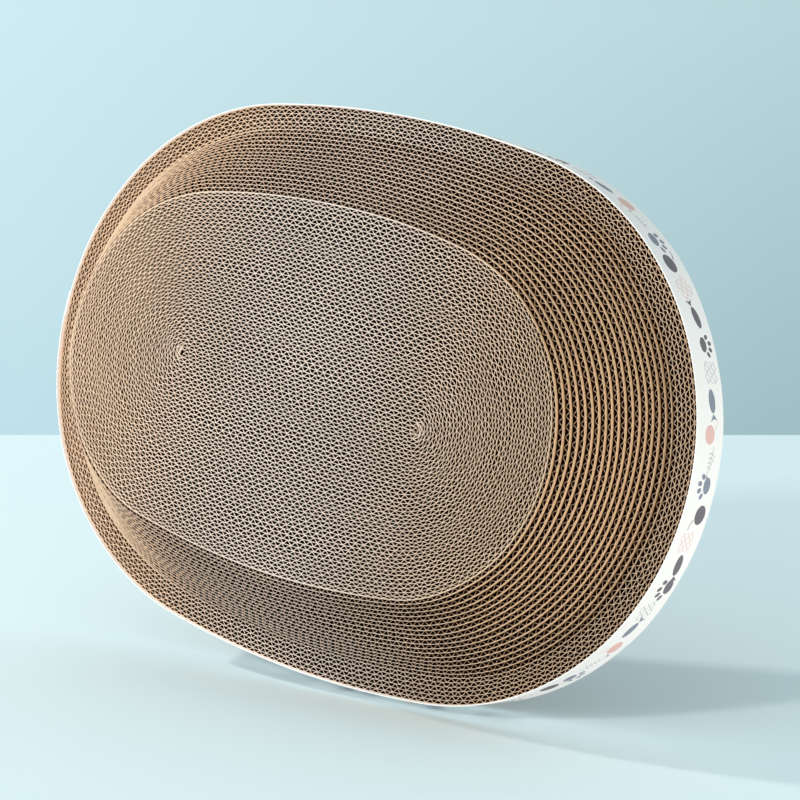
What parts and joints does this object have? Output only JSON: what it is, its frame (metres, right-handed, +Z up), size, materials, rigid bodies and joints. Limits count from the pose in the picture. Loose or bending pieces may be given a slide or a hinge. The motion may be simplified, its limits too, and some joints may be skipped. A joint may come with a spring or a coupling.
{
  "type": "cardboard cat scratcher",
  "caption": "Oval bowl-shaped cat scratcher: corrugated board strips wound on edge into a coil that steps up from a flat floor to a flat rim, with a paper wrap round the outside.",
  "frame": {"origin": "under the middle of the object, on the surface that the flat oval floor stands on", "axes": "+X along the length, +Y across the width, +Z up out of the open bowl"},
  "size_m": [0.4608, 0.3308, 0.081],
  "materials": {
    "core_board": "raw corrugated kraft board, matt",
    "floor_board": "raw corrugated kraft board, matt",
    "slope_board": "raw corrugated kraft board, matt",
    "rim_board": "raw corrugated kraft board, matt",
    "printed_paper": null
  },
  "bodies": {
    "root": {"core_strip": "core_board", "floor_strip_1": "floor_board", "floor_strip_2": "floor_board", "floor_strip_3": "floor_board", "floor_strip_4": "floor_board", "floor_strip_5": "floor_board", "floor_strip_6": "floor_board", "floor_strip_7": "floor_board", "floor_strip_8": "floor_board", "floor_strip_9": "floor_board", "floor_strip_10": "floor_board", "floor_strip_11": "floor_board", "floor_strip_12": "floor_board", "floor_strip_13": "floor_board", "floor_strip_14": "floor_board", "floor_strip_15": "floor_board", "floor_strip_16": "floor_board", "floor_strip_17": "floor_board", "floor_strip_18": "floor_board", "floor_strip_19": "floor_board", "floor_strip_20": "floor_board", "floor_strip_21": "floor_board", "floor_strip_22": "floor_board", "floor_strip_23": "floor_board", "floor_strip_24": "floor_board", "slope_strip_1": "slope_board", "slope_strip_2": "slope_board", "slope_strip_3": "slope_board", "slope_strip_4": "slope_board", "slope_strip_5": "slope_board", "slope_strip_6": "slope_board", "slope_strip_7": "slope_board", "slope_strip_8": "slope_board", "slope_strip_9": "slope_board", "slope_strip_10": "slope_board", "slope_strip_11": "slope_board", "slope_strip_12": "slope_board", "slope_strip_13": "slope_board", "slope_strip_14": "slope_board", "slope_strip_15": "slope_board", "slope_strip_16": "slope_board", "slope_strip_17": "slope_board", "slope_strip_18": "slope_board", "rim_strip_1": "rim_board", "rim_strip_2": "rim_board", "rim_strip_3": "rim_board", "rim_strip_4": "rim_board", "rim_strip_5": "rim_board", "rim_strip_6": "rim_board", "rim_strip_7": "rim_board", "rim_strip_8": "rim_board", "paper_wrap": "printed_paper"}
  },
  "joints": []
}
